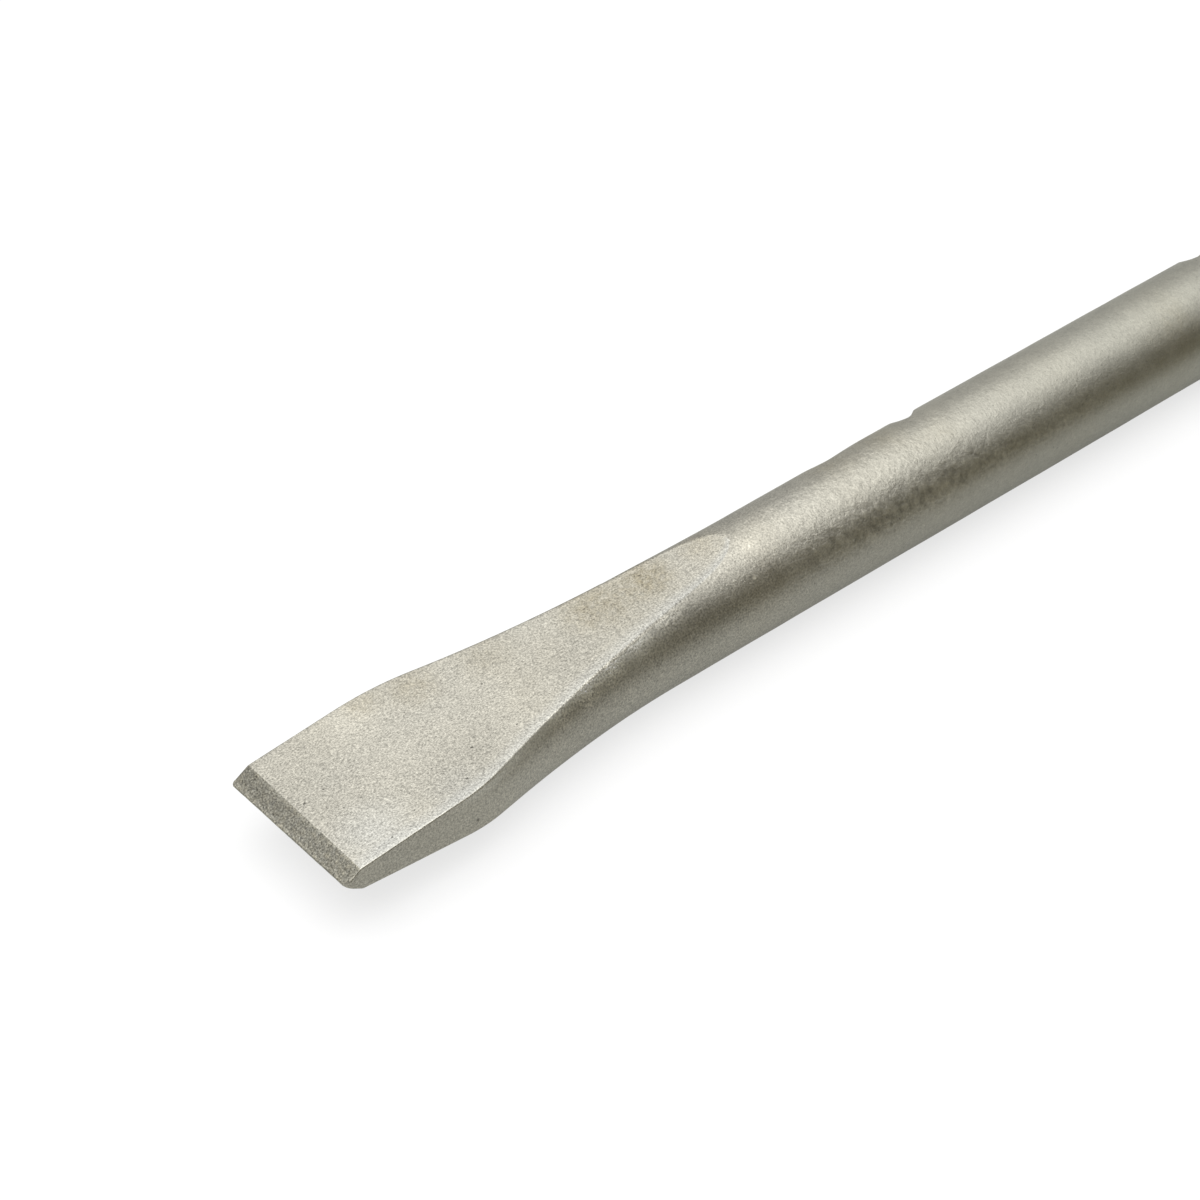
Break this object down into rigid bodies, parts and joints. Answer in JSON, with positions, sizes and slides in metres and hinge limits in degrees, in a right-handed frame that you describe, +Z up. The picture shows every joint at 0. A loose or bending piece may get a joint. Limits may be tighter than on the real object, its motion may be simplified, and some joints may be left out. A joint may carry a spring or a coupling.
{
  "type": "rotary hammer flat chisel",
  "caption": "Forged steel flat chisel for a rotary hammer: round bar, flattened blade with a ground cutting edge, and a slotted shank for a quick-change chuck.",
  "frame": {"origin": "middle of the chisel's length and width, on the surface that the bar lies on; the bar's axis is 7 mm above it", "axes": "+X along the bar from the cutting edge to the shank's end, +Y across the blade, +Z up and square to the blade's flats"},
  "size_m": [0.25, 0.0208, 0.014],
  "materials": {
    "blasted_steel": "shot-blasted bare steel, matt with a fine grain"
  },
  "bodies": {
    "root": {"chisel": "blasted_steel"}
  },
  "joints": []
}
